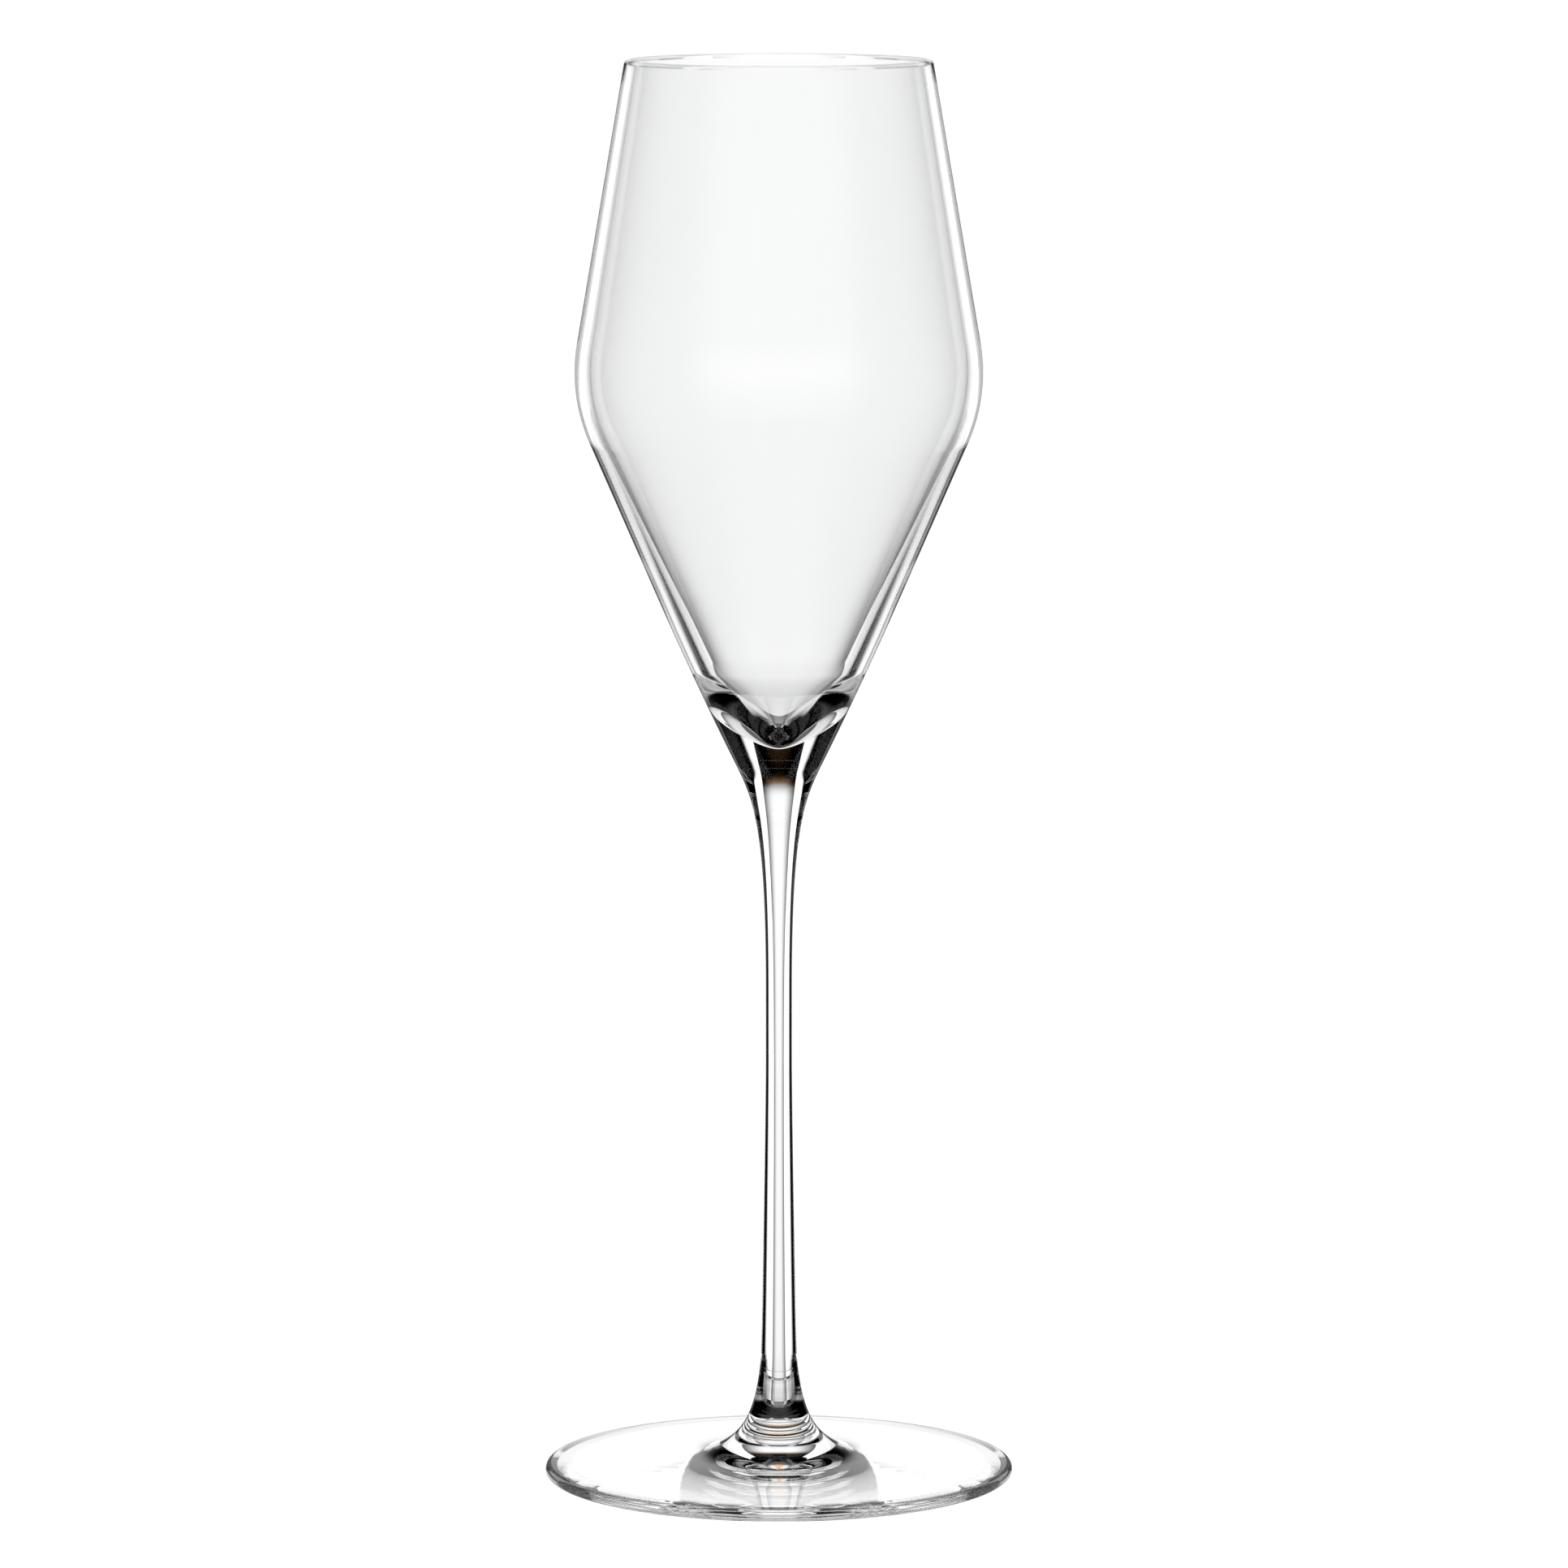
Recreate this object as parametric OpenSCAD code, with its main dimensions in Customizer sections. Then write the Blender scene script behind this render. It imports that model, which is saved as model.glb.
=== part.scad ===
// Champagne flute in clear crystal: a blown bowl, a drawn stem and a pressed foot, fused together.
// Millimetres, +Z up. The origin is the middle of the circle on which the foot stands.
// Every piece is a body of revolution: an outline of [radius, height] points turned about Z.

/* [Bowl] */
// Height of the bowl from its seam with the stem up to the rim
bowl_h = 121.5; // [100:0.5:150]
// Diameter over the rim
rim_d = 53.7; // [44:0.1:66]
// Thickness of the wall at the rim
rim_wall = 1.15; // [0.8:0.05:2]
// Diameter at the widest point
belly_d = 71.2; // [60:0.1:86]
// Height of the widest point above the seam
belly_rise = 67.1; // [56:0.1:80]
// Thickness of the wall at the widest point
belly_wall = 1.5; // [1:0.05:2.5]
// Radius of the soft corner at the widest point, outside
belly_round = 30.5; // [18:0.5:36]
// Height of the bottom of the inside above the seam
pit_rise = 3; // [1:0.1:6]
// Diameter inside at the knee, where the wall turns in to the bottom
knee_d = 25.8; // [22:0.1:28]
// Height of the knee above the bottom of the inside
knee_rise = 12.7; // [10:0.1:16]
// Length over which the knee keeps the slope of the wall above it
knee_ease = 3.6; // [2:0.1:6]
// Length over which the bottom of the inside stays level
pit_ease = 3.2; // [2:0.1:6]
// Diameter of the seam between bowl and stem
seat_d = 16.8; // [13:0.1:20]
// Slope of the outside at the seam, in degrees from upright
seat_slope = 26.2; // [20:0.1:32]
// Length over which the lower wall rounds into that slope, on each side of their meeting point
base_ease = 14.7; // [8:0.1:18]
// Depth to which the convex base of the bowl is sunk into the stem
base_bulge = 3.2; // [2:0.1:4.5]

/* [Stem] */
// Length of the stem from its weld on the foot up to the seam with the bowl
stem_h = 107.3; // [85:0.1:130]
// Diameter of the slim waist
waist_d = 4.58; // [3.8:0.02:6]
// Length of the waist
waist_h = 11.6; // [4:0.1:20]
// Height of the flare that widens from the waist to the seam with the bowl
flare_h = 41.7; // [32:0.1:52]
// Share of the flare in which the stem stays slim
flare_slim = 0.745; // [0.5:0.005:0.85]
// Share of the flare in which the slope of the seam is kept
flare_open = 0.195; // [0.1:0.005:0.35]
// Diameter at the weld on the foot
weld_d = 6.42; // [5.4:0.02:8]
// Slope of the outside just above the weld, in degrees from upright
weld_slope = 3.8; // [1:0.1:6]
// Share of the taper, from the weld up to the waist, in which that slope is kept
weld_ease = 0.075; // [0.02:0.005:0.3]
// Share of the taper in which the stem is already as slim as the waist
waist_ease = 0.17; // [0.05:0.01:0.4]
// Depth to which the rounded end of the stem is sunk into the stub of the foot
tip_bulge = 2.6; // [1.5:0.1:3]

/* [Foot] */
// Diameter of the foot
foot_d = 82.6; // [66:0.1:100]
// Thickness of the foot at its rounded edge
edge_h = 2.2; // [1.6:0.1:4]
// Height of the underside of the edge above the table
edge_lift = 0.3; // [0.1:0.1:1]
// Height of the weld above the table
stub_h = 21.2; // [17:0.1:27]
// Diameter over which the stub sweeps out into the top of the foot
sweep_d = 33.4; // [26:0.1:42]
// Height of the top of the foot where the sweep ends
crown_h = 4.2; // [3.2:0.1:6]
// Slope of the stub just below the weld, in degrees from upright
stub_slope = 5.5; // [3:0.1:9]
// Share of the stub in which its slope at the weld is kept
stub_ease = 0.57; // [0.3:0.01:0.65]
// Share of the stub's height over which the sweep runs out along the top of the foot
sweep_ease = 0.63; // [0.3:0.01:0.7]
// Distance from the edge of the foot in to the flat ring on which the glass stands
ring_inset = 2.2; // [1.6:0.1:8]
// Width of the flat ring
ring_w = 2.5; // [1.5:0.1:5]
// Depth of the hollow under the foot at its middle
hollow_h = 1.2; // [0.4:0.1:2]

/* [Hidden] */

$fn = 72;
// Steps in which each round stretch of an outline is drawn
arc_steps = 16;

// Heights above the table, stacked from the foot up
weld_z = stub_h;
seat_z = weld_z + stem_h;
rim_z = seat_z + bowl_h;
belly_z = seat_z + belly_rise;
pit_z = seat_z + pit_rise;
waist_top_z = seat_z - flare_h;
waist_low_z = waist_top_z - waist_h;

// Unit direction at an angle from +X, in the plane of an outline
function dir(angle) = [cos(angle), sin(angle)];

// Points on a circle about centre, from one angle to another
function arc(centre, radius, from, to) =
    [for (i = [0:arc_steps]) centre + radius * dir(from + (to - from) * i / arc_steps)];

// Points on a smooth curve that leaves p0 towards p1 and reaches p3 from p2
function curve(p0, p1, p2, p3) =
    [for (i = [0:arc_steps])
        let (t = i / arc_steps, s = 1 - t)
        s * s * s * p0 + 3 * s * s * t * p1 + 3 * s * t * t * p2 + t * t * t * p3];

// Points on a parabola that rounds off the corner at p1
function ease(p0, p1, p2) =
    [for (i = [0:arc_steps])
        let (t = i / arc_steps, s = 1 - t)
        s * s * p0 + 2 * s * t * p1 + t * t * p2];

// Points on a sphere cap that hangs below the rim [radius, z], from the axis outwards
function cap(radius, z, depth) =
    let (
        ball = (radius * radius + depth * depth) / (2 * depth),
        half = asin(radius / ball)
    )
    arc([0, z - depth + ball], ball, -90, half - 90);

// Angle of the outward normal of the straight line that touches a lower and an upper circle on
// their outer sides; a negative radius makes the line touch that circle on its inner side
function touch(low, low_r, high, high_r) =
    let (gap = high - low)
    atan2(gap[1], gap[0]) - acos((low_r - high_r) / norm(gap));

function reversed(points) = [for (i = [len(points) - 1:-1:0]) points[i]];

// Circles that the wall of the bowl is drawn around
rim_lip = rim_wall / 2;
rim_c = [rim_d / 2 - rim_lip, rim_z - rim_lip];
belly_c = [belly_d / 2 - belly_round, belly_z];
inner_round = belly_round - belly_wall;
pit_p = [0, pit_z];
knee_p = [knee_d / 2, pit_z + knee_rise];

// Corner that is eased where the lower wall meets the slope of the seam
seat_p = [seat_d / 2, seat_z];
base_p = seat_p + base_ease * dir(90 - seat_slope);

// Angles at which the straight walls leave the round stretches
outer_up = touch(belly_c, belly_round, rim_c, rim_lip);
outer_down = touch(base_p, 0, belly_c, belly_round);
inner_up = touch(belly_c, inner_round, rim_c, -rim_lip);
inner_down = touch(knee_p, 0, belly_c, inner_round);

// Fused faces: each is used by the two pieces that meet there
seat_face = cap(seat_d / 2, seat_z, base_bulge);
weld_face = cap(weld_d / 2, weld_z, tip_bulge);

// Blown cup: closed base, lower wall, soft corner, upper wall and a fire-polished rim
module bowl() {
    outline = concat(
        seat_face,
        ease(seat_p, base_p, base_p + base_ease * dir(outer_down + 90)),
        arc(belly_c, belly_round, outer_down, outer_up),
        arc(rim_c, rim_lip, outer_up, inner_up + 180),
        arc(belly_c, inner_round, inner_up, inner_down),
        curve(knee_p, knee_p + knee_ease * dir(inner_down - 90), pit_p + [pit_ease, 0], pit_p)
    );
    color([0.90, 0.94, 0.96, 0.45])
    rotate_extrude() polygon(outline);
}

// Drawn rod: rounded end in the foot, gentle taper, waist and the flare under the bowl
module stem() {
    waist_r = waist_d / 2;
    taper_h = waist_low_z - weld_z;
    weld_p = [weld_d / 2, weld_z];
    outline = concat(
        weld_face,
        curve(
            weld_p,
            weld_p + taper_h * weld_ease * dir(90 + weld_slope),
            [waist_r, waist_low_z - taper_h * waist_ease],
            [waist_r, waist_low_z]
        ),
        curve(
            [waist_r, waist_top_z],
            [waist_r, waist_top_z + flare_h * flare_slim],
            seat_p - flare_h * flare_open * dir(90 - seat_slope),
            seat_p
        ),
        reversed(seat_face)
    );
    color([0.88, 0.93, 0.96, 0.45])
    rotate_extrude() polygon(outline);
}

// Pressed disc: flat ring to stand on, rounded edge, nearly flat top and a stub swept up to the weld
module foot() {
    foot_r = foot_d / 2;
    edge_r = edge_h / 2;
    ring_r = foot_r - ring_inset;
    weld_p = [weld_d / 2, weld_z];
    sweep_p = [sweep_d / 2, crown_h];
    edge_c = [foot_r - edge_r, edge_lift + edge_r];
    // The underside rises from the ring to the edge, and the top falls from the sweep to it
    under_normal = touch([ring_r, 0], 0, edge_c, edge_r);
    top_normal = touch(edge_c, edge_r, sweep_p, 0);
    sweep_h = weld_z - crown_h;
    outline = concat(
        [for (p = cap(ring_r - ring_w, 0, hollow_h)) [p[0], -p[1]]],
        [[ring_r, 0]],
        arc(edge_c, edge_r, under_normal, top_normal),
        curve(
            sweep_p,
            sweep_p + sweep_h * sweep_ease * dir(top_normal + 90),
            weld_p - sweep_h * stub_ease * dir(90 + stub_slope),
            weld_p
        ),
        reversed(weld_face)
    );
    color([0.86, 0.92, 0.95, 0.45])
    rotate_extrude() polygon(outline);
}

bowl();
stem();
foot();
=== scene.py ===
"""Champagne flute in clear crystal on a bright studio set.

Three pieces are turned: a blown bowl, a drawn stem and a pressed foot. They meet in two fused faces.
"""

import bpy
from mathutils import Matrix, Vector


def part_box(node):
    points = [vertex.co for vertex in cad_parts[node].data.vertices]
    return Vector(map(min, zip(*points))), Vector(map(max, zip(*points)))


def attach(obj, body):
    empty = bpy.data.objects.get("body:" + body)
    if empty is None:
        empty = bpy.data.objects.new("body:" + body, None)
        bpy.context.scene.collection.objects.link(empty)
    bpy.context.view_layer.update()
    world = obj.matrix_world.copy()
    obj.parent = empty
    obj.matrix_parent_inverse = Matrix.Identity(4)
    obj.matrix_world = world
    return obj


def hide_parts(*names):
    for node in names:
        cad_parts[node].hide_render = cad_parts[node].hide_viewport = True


bl_info = {
    "name": "Champagne flute",
    "version": (1, 0, 0),
    "blender": (4, 5, 0),
    "location": "View3D > Sidebar > Flute",
    "description": "Turns the bowl, stem and foot of a crystal flute and sets the studio around them",
    "category": "Add Mesh",
}

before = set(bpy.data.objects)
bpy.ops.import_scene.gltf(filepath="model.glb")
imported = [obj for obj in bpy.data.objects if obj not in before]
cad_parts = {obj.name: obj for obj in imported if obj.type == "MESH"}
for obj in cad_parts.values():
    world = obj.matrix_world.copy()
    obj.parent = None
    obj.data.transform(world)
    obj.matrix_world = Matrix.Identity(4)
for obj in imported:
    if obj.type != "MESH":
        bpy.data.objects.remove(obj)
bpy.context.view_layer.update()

import math

import bpy
import numpy as np
from bpy.props import FloatProperty, FloatVectorProperty, PointerProperty

BOWL_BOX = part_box("bowl")
STEM_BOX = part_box("stem")
FOOT_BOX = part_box("foot")
MM = 0.001

# Facets around the bowl and the stem, and around the wider foot
TURN_STEPS = 288
FOOT_STEPS = 432
# Steps on each round stretch of an outline, and on each straight one longer than LINE_MIN
ARC_STEPS = 40
LINE_STEPS = 12
LINE_MIN = 0.5 * MM
# Points of an outline nearer than this, in metres, are one point
SAME_PLACE = 1e-7
# The fused faces of two pieces stand this far apart, so that no two faces share one place
SEAM_GAP = 0.004 * MM
# Edges that bend by more than this stay sharp: the rims of the fused faces do, the round stretches do not
SHARP = math.radians(12)

# Noises over the pieces' own coordinates, in cells per metre
TINT_CELLS = 35
WAVE_CELLS = 70
POLISH_CELLS = 260
SCRATCH_CELLS = 2400
# Values of the noise between which the polish is lost, and between which a scratch opens
POLISH_SPAN = (0.62, 0.8)
SCRATCH_SPAN = (0.5, 0.66)
# Heights under which the foot is fully rubbed by the table, and over which it is not rubbed at all
WEAR_FULL = 0.02 * MM
WEAR_TOP = 0.06 * MM
# The lip clears over LIP_FADE, from this share of the rim's wall below its top
LIP_SHARE = 0.75
LIP_FADE = 0.3 * MM
# Index across a face where bowl and stem are one melt
ONE_MELT = 1.0

# Lights, in degrees to the side of straight behind the glass and up from level. Each pair is a span over
# which what it is named for comes in, from none at its first number to all at its second.
# The lit sheet, whose glow fades over GLOW_FADE in shares of its half width
GLOW_FADE = (0.28, 1.22)
SHEET_WIDENS = (-5, 4)
SHEET_DIMS = (2, -24)
SHEET_TOP = (33.5, 22)
WARM_EDGE = (28.5, 31)
# The tall side lights
STRIP_SPREADS = (-24, 0)
STRIP_SHARPENS = (-12, 0)
STRIP_TOP = (39.5, 37.5)
# The near end of the lit table, and the dim table nearer still
TABLE_END = (-37, -35.5)
NEAR_RIM = (9, 11)
NEAR_SIDE = (16, 14)
NEAR_END = (-60, -50)
# The light behind the camera, and the one overhead
FRONT_SIDE = (115, 150)
FRONT_LOW = (-25, 5)
FRONT_HIGH = (45, 22)
TOP_LOW = (62, 72)
# Softness of a strip's outer edge low down and high up, the share of it that lies within the strip, and
# how far the strip stands off the sheet's foot
STRIP_SOFT = 14
STRIP_CRISP = 0.8
STRIP_WITHIN = 0.25
STRIP_OFF = 1
# Grid of the lit wall: all round to the side, and from low to high
WALL_SIDE = np.linspace(-180, 180, 481)[None, :]
WALL_HEIGHT = np.linspace(-62, 88, 201)[:, None]
# The cloths reach from CLOTH_LOW to CLOTH_HIGH about the middle of the glass
CLOTH_LOW = -0.12
CLOTH_HIGH = 0.3
CLOTH_COLUMNS = 181
CLOTH_ROWS = 43
# The floor starts under the foot, runs out to FLOOR_REACH and rises there
FLOOR_START = 0.01
FLOOR_REACH = 14
FLOOR_RISE = 3
FLOOR_BENDS = 13
FLOOR_COLUMNS = 65

# How far the camera sees, in metres, and how often light may bounce or pass a face
VIEW_REACH = 100
BOUNCES = 32


def length(name, description, default):
    """A size in metres, shown in the scene's length unit."""
    return FloatProperty(name=name, description=description, default=default, unit="LENGTH", precision=5)


def slope(name, description, degrees):
    """An angle, kept in radians and given here in degrees."""
    return FloatProperty(name=name, description=description, default=math.radians(degrees), subtype="ANGLE")


def share(name, description, default):
    """A plain factor between 0 and 1."""
    return FloatProperty(name=name, description=description, default=default, min=0, max=1, subtype="FACTOR")


def lamp(name, description, default):
    """Strength of a light, where 1 is plain white."""
    return FloatProperty(name=name, description=description, default=default, min=0)


def bending(name, description, default):
    """A refractive index, by which light bends at a face."""
    return FloatProperty(name=name, description=description, default=default, min=1, precision=3)


def colour(name, description, default):
    """A linear colour."""
    return FloatVectorProperty(
        name=name, description=description, default=default, subtype="COLOR", min=0, max=1,
    )


def width_of(box):
    """Size along X of a pair of corners."""
    return box[1].x - box[0].x


class BowlSizes(bpy.types.PropertyGroup):
    rim_z: length("Rim height", "Height of the rim above the table", BOWL_BOX[1].z)
    rim_d: length("Rim diameter", "Diameter over the rim", 53.7 * MM)
    rim_wall: length("Rim wall", "Thickness of the wall at the rim", 1.15 * MM)
    belly_d: length("Belly diameter", "Diameter at the widest point", width_of(BOWL_BOX))
    belly_rise: length("Belly rise", "Height of the widest point above the seam", 67.1 * MM)
    belly_wall: length("Belly wall", "Thickness of the wall at the widest point", 1.5 * MM)
    belly_round: length("Belly rounding", "Outside radius of the soft corner", 30.5 * MM)
    pit_rise: length("Pit rise", "Height of the bottom of the inside above the seam", 3 * MM)
    knee_d: length("Knee diameter", "Diameter inside where the wall turns in to the bottom", 25.8 * MM)
    knee_rise: length("Knee rise", "Height of the knee above the bottom of the inside", 12.7 * MM)
    knee_ease: length("Knee easing", "Length over which the knee keeps the slope of the wall", 3.6 * MM)
    pit_ease: length("Pit easing", "Length over which the bottom of the inside stays level", 3.2 * MM)
    seat_slope: slope("Seat slope", "Slope of the outside at the seam, from upright", 26.2)
    base_ease: length("Base easing", "Length over which the lower wall takes up that slope", 14.7 * MM)


class StemSizes(bpy.types.PropertyGroup):
    seat_z: length("Seam height", "Height of the seam with the bowl", STEM_BOX[1].z)
    seat_d: length("Seam diameter", "Diameter of the seam with the bowl", width_of(STEM_BOX))
    seat_bulge: length("Seat depth", "Depth of the dish that holds the bowl", STEM_BOX[1].z - BOWL_BOX[0].z)
    waist_d: length("Waist diameter", "Diameter of the slim waist", 4.58 * MM)
    waist_h: length("Waist length", "Length of the waist", 11.6 * MM)
    flare_h: length("Flare height", "Height of the flare under the bowl", 41.7 * MM)
    flare_slim: share("Slim share", "Share of the flare in which the stem stays slim", 0.745)
    flare_open: share("Open share", "Share of the flare that keeps the slope of the seam", 0.195)
    weld_d: length("Weld diameter", "Diameter at the weld on the foot", 6.42 * MM)
    weld_slope: slope("Weld slope", "Slope of the outside just above the weld, from upright", 3.8)
    weld_ease: share("Weld share", "Share of the taper in which the slope at the weld is kept", 0.075)
    waist_ease: share("Waist share", "Share of the taper in which the stem is already slim", 0.17)


class FootSizes(bpy.types.PropertyGroup):
    foot_d: length("Foot diameter", "Diameter of the foot", width_of(FOOT_BOX))
    edge_h: length("Edge thickness", "Thickness of the foot at its rounded edge", 2.2 * MM)
    edge_lift: length("Edge lift", "Height of the underside of the edge", 0.3 * MM)
    weld_z: length("Weld height", "Height of the weld above the table", FOOT_BOX[1].z)
    weld_bulge: length("Weld depth", "Depth of the dish that holds the stem", FOOT_BOX[1].z - STEM_BOX[0].z)
    sweep_d: length("Sweep diameter", "Diameter over which the stub sweeps into the foot", 33.4 * MM)
    crown_h: length("Crown height", "Height of the top where the sweep ends", 4.2 * MM)
    stub_slope: slope("Stub slope", "Slope of the stub just below the weld, from upright", 5.5)
    stub_ease: share("Stub share", "Share of the stub in which its slope at the weld is kept", 0.57)
    sweep_ease: share("Sweep share", "Share of the stub over which the sweep runs out along the top", 0.63)
    ring_inset: length("Ring inset", "Distance from the edge in to the resting ring", 2.2 * MM)
    ring_w: length("Ring width", "Width of the flat resting ring", 2.5 * MM)
    hollow_h: length("Hollow", "Depth of the hollow under the foot", 1.2 * MM)


class CrystalLook(bpy.types.PropertyGroup):
    tint: colour("Tint", "Colour that the crystal lends to light passing through it", (0.994, 0.997, 0.996))
    deep_tint: colour("Deep tint", "Colour where the melt is a little deeper", (0.988, 0.993, 0.991))
    haze: share("Haze", "Roughness of the least polished spots", 0.012)
    wear: share("Wear", "Roughness of the scratches on the resting ring", 0.1)
    wave: length("Wave", "Height of the soft waves left in the surface", 0.0015 * MM)
    lip_clear: share("Lip clearness", "Share of the light that passes straight through the thin lip", 0.78)
    ior: bending("IOR", "Refractive index of the crystal", 1.52)
    weld_ior: bending("Weld IOR", "Refractive index across the weld, where two melts meet", 1.004)


class StudioSizes(bpy.types.PropertyGroup):
    camera_distance: length("Camera distance", "Distance of the camera from the axis of the glass", 1.4745)
    camera_height: length("Camera height", "Height of the camera above the table", 0.3134)
    camera_side: length("Camera side", "Distance of the camera to the right of the axis", 0.0009)
    camera_pitch: slope("Camera pitch", "Angle by which the camera looks down", 7.345)
    camera_lens: FloatProperty(name="Lens", description="Focal length", default=194.76, unit="CAMERA")
    light_reach: length("Light distance", "Distance of the lit wall from the middle of the glass", 6)
    glow_light: lamp("Glow light", "Strength of the middle of the lit sheet", 1.08)
    table_shade: share("Table shade", "Share by which the sheet is dimmer where it meets the table", 0.2)
    strip_light: lamp("Strip light", "Strength of the tall side lights", 1.25)
    front_light: lamp("Front light", "Strength of the light behind the camera", 0.55)
    top_light: lamp("Top light", "Strength of the overhead light", 1)
    table_light: lamp("Table light", "Strength of the dim near table", 0.15)
    table_rim: lamp("Table rim", "Strength of the lighter rims of the near table", 0.7)
    floor_light: lamp("Floor light", "Strength of the lit floor", 1.05)
    edge_glow: colour("Edge glow", "Warm colour of the upper edge of the lit sheet", (1, 0.5, 0.18))
    sheet_half: slope("Sheet half width", "Angle from straight behind to the edge of the lit sheet", 22.5)
    sheet_foot: slope("Sheet foot", "The same angle low down, where the sheet lies on the table", 14.5)
    strip_edge: slope("Strip edge", "Angle from straight behind to the far edge of a side light", 41.5)
    cloth_reach: length("Cloth distance", "Distance of the dark cloths behind the glass", 0.45)
    cloth_start: length("Cloth start", "Distance from the middle at which the cloths begin", 0.05)
    cloth_full: length("Cloth full", "Distance from the middle at which they are at their darkest", 0.09)
    cloth_end: length("Cloth end", "Distance from the middle at which they end", 0.2)
    cloth_cover: share("Cloth cover", "Share of the light that the cloths hold back", 0.82)


class FluteSettings(bpy.types.PropertyGroup):
    bowl: PointerProperty(type=BowlSizes)
    stem: PointerProperty(type=StemSizes)
    foot: PointerProperty(type=FootSizes)
    look: PointerProperty(type=CrystalLook)
    studio: PointerProperty(type=StudioSizes)


# ---------------------------------------------------------------- outlines, as [radius, height] rows


def direction(angle):
    """Unit vector at an angle in radians from the +radius axis."""
    return np.array([np.cos(angle), np.sin(angle)])


def arc(centre, radius, start, end, steps=ARC_STEPS):
    """centre + radius * (cos a, sin a), for a from start to end."""
    angles = np.linspace(start, end, steps + 1)
    return np.asarray(centre) + radius * direction(angles).T


def curve(p0, p1, p2, p3, steps=ARC_STEPS):
    """Cubic curve s^3 p0 + 3 s^2 t p1 + 3 s t^2 p2 + t^3 p3, with s = 1 - t."""
    t = np.linspace(0, 1, steps + 1)[:, None]
    s = 1 - t
    return s**3 * p0 + 3 * s**2 * t * p1 + 3 * s * t**2 * p2 + t**3 * p3


def ease(p0, p1, p2, steps=ARC_STEPS):
    """Parabola s^2 p0 + 2 s t p1 + t^2 p2 that rounds off the corner at p1."""
    t = np.linspace(0, 1, steps + 1)[:, None]
    s = 1 - t
    return s**2 * p0 + 2 * s * t * p1 + t**2 * p2


def cap(radius, z, depth, steps=ARC_STEPS):
    """Sphere cap that hangs below the circle (radius, z), from the axis outwards.

    Its ball has the radius (radius^2 + depth^2) / (2 depth).
    """
    ball = (radius**2 + depth**2) / (2 * depth)
    half = math.asin(radius / ball)
    return arc((0, z - depth + ball), ball, -math.pi / 2, half - math.pi / 2, steps)


def touch(low, low_r, high, high_r):
    """Angle of the outward normal of the line that touches two circles on their outer sides.

    It is the angle of the centre line less acos((low_r - high_r) / distance); a negative radius
    makes the line touch that circle on its inner side.
    """
    gap = np.asarray(high) - np.asarray(low)
    return math.atan2(gap[1], gap[0]) - math.acos((low_r - high_r) / math.hypot(*gap))


def joined(*stretches):
    """One outline from stretches laid end to end.

    A straight gap between two stretches is divided evenly, and doubled points are dropped.
    """
    rows = [stretches[0]]
    for stretch in stretches[1:]:
        t = np.linspace(0, 1, LINE_STEPS + 1)[1:-1, None]
        start, end = rows[-1][-1], stretch[0]
        if np.hypot(*(end - start)) > LINE_MIN:
            rows.append(start + t * (end - start))
        rows.append(stretch)
    points = np.vstack(rows)
    apart = np.hypot(*np.diff(points, axis=0).T) > SAME_PLACE
    return points[np.concatenate([[True], apart])]


def bowl_outline(bowl, stem):
    """Half section of the bowl and the number of its rows that are the fused face."""
    seat_z = stem.seat_z
    lip = bowl.rim_wall / 2
    rim_c = np.array([bowl.rim_d / 2 - lip, bowl.rim_z - lip])
    belly_c = np.array([bowl.belly_d / 2 - bowl.belly_round, seat_z + bowl.belly_rise])
    inner_round = bowl.belly_round - bowl.belly_wall
    pit_p = np.array([0, seat_z + bowl.pit_rise])
    knee_p = np.array([bowl.knee_d / 2, pit_p[1] + bowl.knee_rise])
    seat_p = np.array([stem.seat_d / 2, seat_z])
    base_p = seat_p + bowl.base_ease * direction(math.pi / 2 - bowl.seat_slope)
    outer_up = touch(belly_c, bowl.belly_round, rim_c, lip)
    outer_down = touch(base_p, 0, belly_c, bowl.belly_round)
    inner_up = touch(belly_c, inner_round, rim_c, -lip)
    inner_down = touch(knee_p, 0, belly_c, inner_round)
    seat = cap(stem.seat_d / 2, seat_z, stem.seat_bulge)
    outline = joined(
        seat,
        ease(seat_p, base_p, base_p + bowl.base_ease * direction(outer_down + math.pi / 2)),
        arc(belly_c, bowl.belly_round, outer_down, outer_up),
        arc(rim_c, lip, outer_up, inner_up + math.pi, ARC_STEPS // 2),
        arc(belly_c, inner_round, inner_up, inner_down),
        curve(
            knee_p,
            knee_p + bowl.knee_ease * direction(inner_down - math.pi / 2),
            pit_p + (bowl.pit_ease, 0),
            pit_p,
            2 * ARC_STEPS,
        ),
    )
    return outline, len(seat)


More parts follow.
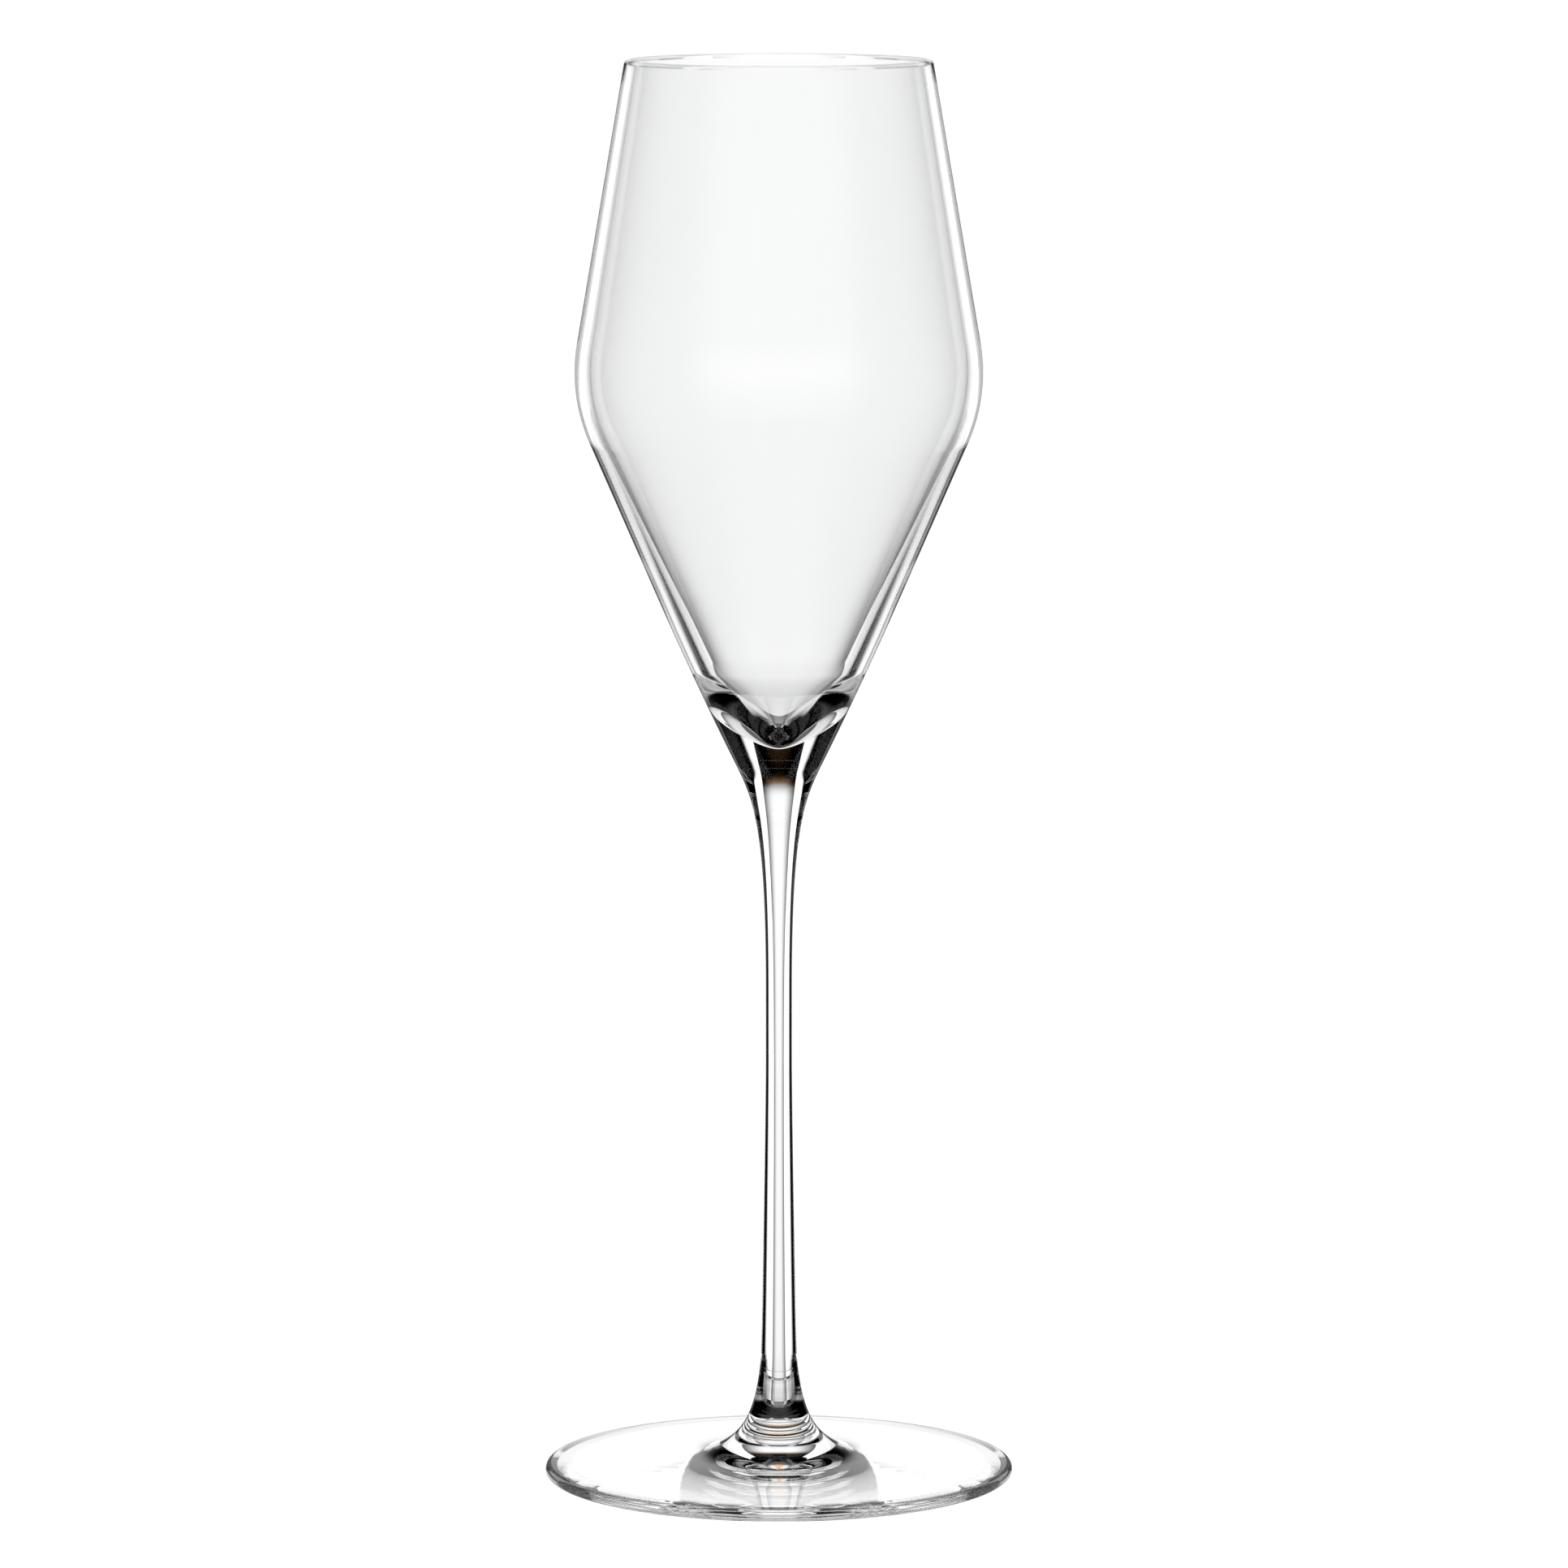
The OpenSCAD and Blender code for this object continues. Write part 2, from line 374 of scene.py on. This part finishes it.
def stem_outline(bowl, stem, foot):
    """Half section of the stem and the numbers of its first and last rows that are fused faces."""
    waist_r = stem.waist_d / 2
    waist_top_z = stem.seat_z - stem.flare_h
    waist_low_z = waist_top_z - stem.waist_h
    taper_h = waist_low_z - foot.weld_z
    weld_p = np.array([stem.weld_d / 2, foot.weld_z])
    seat_p = np.array([stem.seat_d / 2, stem.seat_z - SEAM_GAP])
    weld = cap(stem.weld_d / 2, foot.weld_z, foot.weld_bulge)
    seat = cap(stem.seat_d / 2, stem.seat_z - SEAM_GAP, stem.seat_bulge)
    outline = joined(
        weld,
        curve(
            weld_p,
            weld_p + taper_h * stem.weld_ease * direction(math.pi / 2 + stem.weld_slope),
            np.array([waist_r, waist_low_z - taper_h * stem.waist_ease]),
            np.array([waist_r, waist_low_z]),
        ),
        curve(
            np.array([waist_r, waist_top_z]),
            np.array([waist_r, waist_top_z + stem.flare_h * stem.flare_slim]),
            seat_p - stem.flare_h * stem.flare_open * direction(math.pi / 2 - bowl.seat_slope),
            seat_p,
            2 * ARC_STEPS,
        ),
        seat[::-1],
    )
    return outline, len(weld), len(seat)


def foot_outline(stem, foot):
    """Half section of the foot and the number of its last rows that are the fused face."""
    foot_r = foot.foot_d / 2
    edge_r = foot.edge_h / 2
    ring_r = foot_r - foot.ring_inset
    weld_z = foot.weld_z - SEAM_GAP
    weld_p = np.array([stem.weld_d / 2, weld_z])
    sweep_p = np.array([foot.sweep_d / 2, foot.crown_h])
    edge_c = np.array([foot_r - edge_r, foot.edge_lift + edge_r])
    under_normal = touch((ring_r, 0), 0, edge_c, edge_r)
    top_normal = touch(edge_c, edge_r, sweep_p, 0)
    sweep_h = foot.weld_z - foot.crown_h
    hollow = cap(ring_r - foot.ring_w, 0, foot.hollow_h, ARC_STEPS // 2) * (1, -1)
    weld = cap(stem.weld_d / 2, weld_z, foot.weld_bulge)
    outline = joined(
        hollow,
        np.array([[ring_r, 0]]),
        arc(edge_c, edge_r, under_normal, top_normal),
        curve(
            sweep_p,
            sweep_p + sweep_h * foot.sweep_ease * direction(top_normal + math.pi / 2),
            weld_p - sweep_h * foot.stub_ease * direction(math.pi / 2 + foot.stub_slope),
            weld_p,
            2 * ARC_STEPS,
        ),
        weld[::-1],
    )
    return outline, len(weld)


# ---------------------------------------------------------------- meshes


def turned(name, outline, fused_start=0, fused_end=0, steps=TURN_STEPS):
    """A closed solid: row i of the outline, at turn j, is (r_i cos a_j, r_i sin a_j, z_i).

    a_j is 2 pi j / steps. The first and last rows lie on the axis and are one vertex each. Faces
    between the first fused_start rows, and between the last fused_end rows, are a fused face and take
    the second material.
    """
    ring = outline[1:-1]
    rows = len(ring)
    angle = 2 * np.pi * np.arange(steps) / steps
    grid = np.empty((rows, steps, 3))
    grid[..., 0] = ring[:, :1] * np.cos(angle)
    grid[..., 1] = ring[:, :1] * np.sin(angle)
    grid[..., 2] = ring[:, 1:]
    poles = np.array([[0, 0, outline[0, 1]], [0, 0, outline[-1, 1]]])
    points = np.vstack([grid.reshape(-1, 3), poles])
    index = np.arange(rows * steps).reshape(rows, steps)
    after = np.roll(index, -1, axis=1)
    quads = np.stack([index[:-1], after[:-1], after[1:], index[1:]], axis=-1).reshape(-1, 4)
    first, last = rows * steps, rows * steps + 1
    start_fan = np.stack([np.full(steps, first), after[0], index[0]], axis=-1)
    end_fan = np.stack([np.full(steps, last), index[-1], after[-1]], axis=-1)
    mesh = bpy.data.meshes.new(name)
    mesh.from_pydata(points, [], quads.tolist() + start_fan.tolist() + end_fan.tolist())
    fans = (np.zeros(steps, int), np.full(steps, rows))
    row_of = np.concatenate([np.repeat(np.arange(1, rows), steps), *fans])
    fused = (row_of < fused_start - 1) | (row_of >= rows + 2 - fused_end)
    mesh.polygons.foreach_set("material_index", fused.astype(np.int32))
    mesh.polygons.foreach_set("use_smooth", np.ones(len(row_of), bool))
    mesh.set_sharp_from_angle(angle=SHARP)
    mesh.update()
    piece = bpy.data.objects.new(name, mesh)
    bpy.context.scene.collection.objects.link(piece)
    return piece


def placed(piece, node, slot, *materials):
    """Gives a finished piece its materials, sets it on the one body and hides its CAD node."""
    for material in materials:
        piece.data.materials.append(material)
    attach(piece, "root")
    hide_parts(node)
    return piece


# ---------------------------------------------------------------- materials


def noise(tree, where, cells, detail=2):
    """Soft noise between 0 and 1, with so many cells to the metre."""
    texture = tree.nodes.new("ShaderNodeTexNoise")
    texture.inputs["Scale"].default_value = cells
    texture.inputs["Detail"].default_value = detail
    tree.links.new(where, texture.inputs["Vector"])
    return texture.outputs["Fac"]


def remap(tree, value, low, high, start, end):
    """Carries values between low and high over to start and end, held within them."""
    node = tree.nodes.new("ShaderNodeMapRange")
    for socket, number in zip(("From Min", "From Max", "To Min", "To Max"), (low, high, start, end)):
        node.inputs[socket].default_value = number
    tree.links.new(value, node.inputs["Value"])
    return node.outputs["Result"]


def crystal(name, look, drawn, worn=None, lip_above=None):
    """Clear crystal with its tool marks.

    drawn stretches the waves of the surface up the piece. A noise shifts the tint a little from place
    to place and a finer one varies the polish. worn is the span of height over which the scratches of
    the resting ring die out. Above lip_above the fire-polished lip lets light straight through.
    """
    material = bpy.data.materials.new(name)
    material.use_nodes = True
    tree = material.node_tree
    nodes, links = tree.nodes, tree.links
    shader = nodes["Principled BSDF"]
    shader.inputs["IOR"].default_value = look.ior
    shader.inputs["Transmission Weight"].default_value = 1
    place = nodes.new("ShaderNodeTexCoord").outputs["Object"]
    stretch = nodes.new("ShaderNodeMapping")
    stretch.inputs["Scale"].default_value = (1, 1, 1 / drawn)
    links.new(place, stretch.inputs["Vector"])

    tint = nodes.new("ShaderNodeMix")
    tint.data_type = "RGBA"
    tint.inputs["A"].default_value = (*look.tint, 1)
    tint.inputs["B"].default_value = (*look.deep_tint, 1)
    links.new(noise(tree, stretch.outputs[0], TINT_CELLS), tint.inputs["Factor"])
    links.new(tint.outputs["Result"], shader.inputs["Base Color"])

    polish = remap(tree, noise(tree, place, POLISH_CELLS, detail=4), *POLISH_SPAN, 0, look.haze)
    bump = nodes.new("ShaderNodeBump")
    bump.inputs["Distance"].default_value = look.wave
    links.new(noise(tree, stretch.outputs[0], WAVE_CELLS), bump.inputs["Height"])
    links.new(bump.outputs[0], shader.inputs["Normal"])

    if worn or lip_above:
        apart = nodes.new("ShaderNodeSeparateXYZ")
        links.new(place, apart.inputs[0])
        height = apart.outputs["Z"]
    if worn:
        rub = remap(tree, height, *worn, 1, 0)
        scratches = remap(tree, noise(tree, place, SCRATCH_CELLS, detail=6), *SCRATCH_SPAN, 0, look.wear)
        rubbed = nodes.new("ShaderNodeMath")
        rubbed.operation = "MULTIPLY_ADD"
        links.new(rub, rubbed.inputs[0])
        links.new(scratches, rubbed.inputs[1])
        links.new(polish, rubbed.inputs[2])
        polish = rubbed.outputs[0]
    links.new(polish, shader.inputs["Roughness"])
    if lip_above:
        clear = nodes.new("ShaderNodeBsdfTransparent")
        lip = nodes.new("ShaderNodeMixShader")
        passed = remap(tree, height, lip_above, lip_above + LIP_FADE, 0, look.lip_clear)
        links.new(passed, lip.inputs[0])
        links.new(shader.outputs[0], lip.inputs[1])
        links.new(clear.outputs[0], lip.inputs[2])
        links.new(lip.outputs[0], nodes["Material Output"].inputs["Surface"])
    return material


def fused_face(name, ior):
    """Face across which two melts of crystal have run together: it bends light hardly at all."""
    material = bpy.data.materials.new(name)
    material.use_nodes = True
    shader = material.node_tree.nodes["Principled BSDF"]
    shader.inputs["Base Color"].default_value = (1, 1, 1, 1)
    shader.inputs["Roughness"].default_value = 0
    shader.inputs["IOR"].default_value = ior
    shader.inputs["Transmission Weight"].default_value = 1
    return material


def lamp_material(name, strength):
    """Evenly lit white surface. Returns the material and its emission node."""
    material = bpy.data.materials.new(name)
    material.use_nodes = True
    nodes, links = material.node_tree.nodes, material.node_tree.links
    nodes.clear()
    emission = nodes.new("ShaderNodeEmission")
    emission.inputs["Strength"].default_value = strength
    output = nodes.new("ShaderNodeOutputMaterial")
    links.new(emission.outputs[0], output.inputs["Surface"])
    return material, emission


def light_wall_material(name):
    """Lit wall whose colour at each place is the one stored there."""
    material, emission = lamp_material(name, 1)
    nodes, links = material.node_tree.nodes, material.node_tree.links
    stored = nodes.new("ShaderNodeAttribute")
    stored.attribute_name = "light"
    links.new(stored.outputs["Color"], emission.inputs["Color"])
    material.cycles.emission_sampling = "NONE"
    return material


def cloth_material(name):
    """Black cloth that holds back the share of the light that is stored at each place."""
    material = bpy.data.materials.new(name)
    material.use_nodes = True
    nodes, links = material.node_tree.nodes, material.node_tree.links
    nodes.clear()
    stored = nodes.new("ShaderNodeAttribute")
    stored.attribute_name = "cover"
    clear = nodes.new("ShaderNodeBsdfTransparent")
    black = nodes.new("ShaderNodeBsdfDiffuse")
    black.inputs["Color"].default_value = (0, 0, 0, 1)
    mix = nodes.new("ShaderNodeMixShader")
    output = nodes.new("ShaderNodeOutputMaterial")
    links.new(stored.outputs["Fac"], mix.inputs[0])
    links.new(clear.outputs[0], mix.inputs[1])
    links.new(black.outputs[0], mix.inputs[2])
    links.new(mix.outputs[0], output.inputs["Surface"])
    return material


# ---------------------------------------------------------------- studio


def grid_mesh(name, points):
    """A sheet from an array of points, rows by columns."""
    rows, columns = points.shape[:2]
    index = np.arange(rows * columns).reshape(rows, columns)
    quads = np.stack([index[:-1, :-1], index[:-1, 1:], index[1:, 1:], index[1:, :-1]], axis=-1)
    mesh = bpy.data.meshes.new(name)
    mesh.from_pydata(points.reshape(-1, 3), [], quads.reshape(-1, 4).tolist())
    sheet = bpy.data.objects.new(name, mesh)
    bpy.context.scene.collection.objects.link(sheet)
    return sheet


def step(value, start, end):
    """Smooth step: 3 t^2 - 2 t^3, with t = (value - start) / (end - start) held between 0 and 1.

    It rises from start to end, so a span given backwards makes it fall.
    """
    t = np.clip((value - start) / (end - start), 0, 1)
    return t * t * (3 - 2 * t)


def blend(start, end, t):
    """start + t (end - start)."""
    return start + t * (end - start)


def light_strength(side, height, studio):
    """Strength of the light that comes from each direction.

    side and height are angles in degrees from straight behind the glass. The lit sheet glows in its
    middle and fades to its edges, and a tall light stands on each side of it. Both draw together low
    down, where they lie on the table, and end at the dim near table with its lighter rims. A broad
    light stands behind the camera and another overhead. Where two overlap, the stronger one counts.
    """
    aside = np.abs(side)
    foot_half = math.degrees(studio.sheet_foot)
    half = blend(foot_half, math.degrees(studio.sheet_half), step(height, *SHEET_WIDENS))
    glow = studio.glow_light * (1 - step(aside / half, *GLOW_FADE)) * (aside < half)
    glow = glow * step(height, *SHEET_TOP) * (1 - studio.table_shade * step(height, *SHEET_DIMS))

    edge = blend(foot_half + STRIP_OFF, math.degrees(studio.strip_edge), step(height, *STRIP_SPREADS))
    soft = blend(STRIP_SOFT, STRIP_CRISP, step(height, *STRIP_SHARPENS))
    strip = studio.strip_light * (1 - step(aside, edge - STRIP_WITHIN * soft, edge + soft))
    strip = strip * (aside >= half) * step(height, *STRIP_TOP)

    beyond = step(height, *TABLE_END)
    near = blend(studio.table_light, studio.table_rim, step(aside, *NEAR_RIM))
    near = near * (1 - beyond) * step(aside, *NEAR_SIDE) * step(height, *NEAR_END)
    front = studio.front_light * step(aside, *FRONT_SIDE)
    front = front * step(height, *FRONT_LOW) * step(height, *FRONT_HIGH)
    top = studio.top_light * step(height, *TOP_LOW) * np.ones_like(side)
    return np.maximum.reduce([(glow + strip) * beyond, near, front, top])


def light_wall(name, reach, studio):
    """Wall of light on a sphere about the glass: reach * (cos h sin s, cos h cos s, sin h).

    s is the angle to the side and h the height, over the part of the sphere that holds lights; the
    colour and strength of the light at each point are stored with it.
    """
    s, h = np.radians(WALL_SIDE), np.radians(WALL_HEIGHT)
    points = np.empty((h.size, s.size, 3))
    points[..., 0] = reach * np.cos(h) * np.sin(s)
    points[..., 1] = reach * np.cos(h) * np.cos(s)
    points[..., 2] = reach * np.sin(h)
    wall = grid_mesh(name, points)
    warm = step(WALL_HEIGHT, *WARM_EDGE) * (np.abs(WALL_SIDE) < math.degrees(studio.sheet_half))
    light = np.ones((h.size, s.size, 4), np.float32)
    light[..., :3] = blend(1, np.array(studio.edge_glow), warm[..., None])
    light[..., :3] *= light_strength(WALL_SIDE, WALL_HEIGHT, studio)[..., None]
    stored = wall.data.attributes.new("light", "FLOAT_COLOR", "POINT")
    stored.data.foreach_set("color", light.ravel())
    return wall


def dark_cloths(name, studio):
    """Upright sheet behind the glass that is clear in the middle and darkens to a cloth on each side.

    The cover at a distance x from the middle is a smooth step from where the cloths begin to where
    they are full. Beside the lower half of the glass they run out as far as they stand behind it.
    """
    x = np.linspace(-studio.cloth_reach, studio.cloth_reach, CLOTH_COLUMNS)[None, :]
    z = np.linspace(CLOTH_LOW, CLOTH_HIGH, CLOTH_ROWS)[:, None]
    points = np.empty((CLOTH_ROWS, CLOTH_COLUMNS, 3))
    points[..., 0] = x
    points[..., 1] = studio.cloth_reach
    points[..., 2] = z
    sheet = grid_mesh(name, points)
    cover = studio.cloth_cover * step(np.abs(x), studio.cloth_start, studio.cloth_full)
    cover = cover * ((np.abs(x) < studio.cloth_end) | (z < 0))
    stored = sheet.data.attributes.new("cover", "FLOAT", "POINT")
    stored.data.foreach_set("value", cover.astype(np.float32).ravel())
    return sheet


def cyclorama(name, reach, rise):
    """Floor that sweeps up into a wall all round: (r cos a, r sin a, z).

    r and z follow the level floor, then a quarter circle of radius rise, then the upright wall.
    """
    bend = np.linspace(0, np.pi / 2, FLOOR_BENDS)
    radius = np.concatenate([[FLOOR_START], reach - rise + rise * np.sin(bend), [reach]])
    height = np.concatenate([[0], rise - rise * np.cos(bend), [2 * rise]])
    angle = np.linspace(0, 2 * np.pi, FLOOR_COLUMNS)
    points = np.empty((len(radius), len(angle), 3))
    points[..., 0] = radius[:, None] * np.cos(angle)
    points[..., 1] = radius[:, None] * np.sin(angle)
    points[..., 2] = height[:, None]
    return grid_mesh(name, points)


# ---------------------------------------------------------------- operators


class FLUTE_OT_bowl(bpy.types.Operator):
    """Turn the bowl"""

    bl_idname = "flute.bowl"
    bl_label = "Bowl"

    def execute(self, context):
        flute = context.scene.flute
        outline, fused = bowl_outline(flute.bowl, flute.stem)
        piece = turned("bowl_crystal", outline, fused_start=fused)
        lip_z = flute.bowl.rim_z - LIP_SHARE * flute.bowl.rim_wall
        glass = crystal("blown crystal", flute.look, drawn=1.5, lip_above=lip_z)
        seam = fused_face("bowl seam", ONE_MELT)
        placed(piece, "bowl", "bowl_crystal", glass, seam)
        return {"FINISHED"}


class FLUTE_OT_stem(bpy.types.Operator):
    """Turn the stem"""

    bl_idname = "flute.stem"
    bl_label = "Stem"

    def execute(self, context):
        flute = context.scene.flute
        outline, weld, seat = stem_outline(flute.bowl, flute.stem, flute.foot)
        piece = turned("stem_crystal", outline, fused_start=weld, fused_end=seat)
        glass = crystal("drawn crystal", flute.look, drawn=8)
        seam = fused_face("stem seam", ONE_MELT)
        placed(piece, "stem", "stem_crystal", glass, seam)
        return {"FINISHED"}


class FLUTE_OT_foot(bpy.types.Operator):
    """Turn the foot"""

    bl_idname = "flute.foot"
    bl_label = "Foot"

    def execute(self, context):
        flute = context.scene.flute
        outline, fused = foot_outline(flute.stem, flute.foot)
        piece = turned("foot_crystal", outline, fused_end=fused, steps=FOOT_STEPS)
        glass = crystal("pressed crystal", flute.look, drawn=1, worn=(WEAR_FULL, WEAR_TOP))
        seam = fused_face("foot seam", flute.look.weld_ior)
        placed(piece, "foot", "foot_crystal", glass, seam)
        return {"FINISHED"}


class FLUTE_OT_studio(bpy.types.Operator):
    """Set the camera, the pale floor, the lit wall and the dark cloths"""

    bl_idname = "flute.studio"
    bl_label = "Studio"

    def execute(self, context):
        scene = context.scene
        studio = scene.flute.studio
        lens = bpy.data.cameras.new("camera")
        lens.lens = studio.camera_lens
        lens.clip_end = VIEW_REACH
        camera = bpy.data.objects.new("camera", lens)
        camera.location = (studio.camera_side, -studio.camera_distance, studio.camera_height)
        camera.rotation_euler = (math.pi / 2 - studio.camera_pitch, 0, 0)
        scene.collection.objects.link(camera)
        scene.camera = camera

        floor = cyclorama("floor", FLOOR_REACH, FLOOR_RISE)
        floor.data.materials.append(lamp_material("lit floor", studio.floor_light)[0])
        floor.visible_glossy = False
        floor.visible_transmission = False
        floor.visible_diffuse = False

        wall = light_wall("light_wall", studio.light_reach, studio)
        wall.data.materials.append(light_wall_material("lit wall"))
        cloths = dark_cloths("dark_cloths", studio)
        cloths.data.materials.append(cloth_material("black cloth"))
        cloths.visible_transmission = False
        for sheet in (wall, cloths):
            sheet.visible_camera = False
            sheet.location = (0, 0, BOWL_BOX[1].z / 2)
            follow = sheet.constraints.new("TRACK_TO")
            follow.target = camera
            follow.track_axis = "TRACK_NEGATIVE_Y"
            follow.up_axis = "UP_Z"

        world = bpy.data.worlds.new("dark room")
        world.use_nodes = True
        world.node_tree.nodes["Background"].inputs["Color"].default_value = (0, 0, 0, 1)
        scene.world = world
        scene.view_settings.view_transform = "Standard"
        scene.cycles.max_bounces = BOUNCES
        scene.cycles.transmission_bounces = BOUNCES
        scene.cycles.glossy_bounces = BOUNCES
        scene.cycles.transparent_max_bounces = BOUNCES
        return {"FINISHED"}


class FLUTE_PT_panel(bpy.types.Panel):
    """Steps that make the flute"""

    bl_idname = "FLUTE_PT_panel"
    bl_label = "Champagne flute"
    bl_space_type = "VIEW_3D"
    bl_region_type = "UI"
    bl_category = "Flute"

    def draw(self, context):
        for maker in MAKERS:
            self.layout.operator(maker.bl_idname)


MAKERS = (FLUTE_OT_studio, FLUTE_OT_bowl, FLUTE_OT_stem, FLUTE_OT_foot)
SETTINGS = (BowlSizes, StemSizes, FootSizes, CrystalLook, StudioSizes, FluteSettings)
CLASSES = (*SETTINGS, *MAKERS, FLUTE_PT_panel)


def register():
    for cls in CLASSES:
        bpy.utils.register_class(cls)
    bpy.types.Scene.flute = PointerProperty(type=FluteSettings)


def unregister():
    del bpy.types.Scene.flute
    for cls in reversed(CLASSES):
        bpy.utils.unregister_class(cls)


def main():
    register()
    bpy.ops.flute.studio()
    bpy.ops.flute.bowl()
    bpy.ops.flute.stem()
    bpy.ops.flute.foot()


if __name__ == "__main__":
    main()
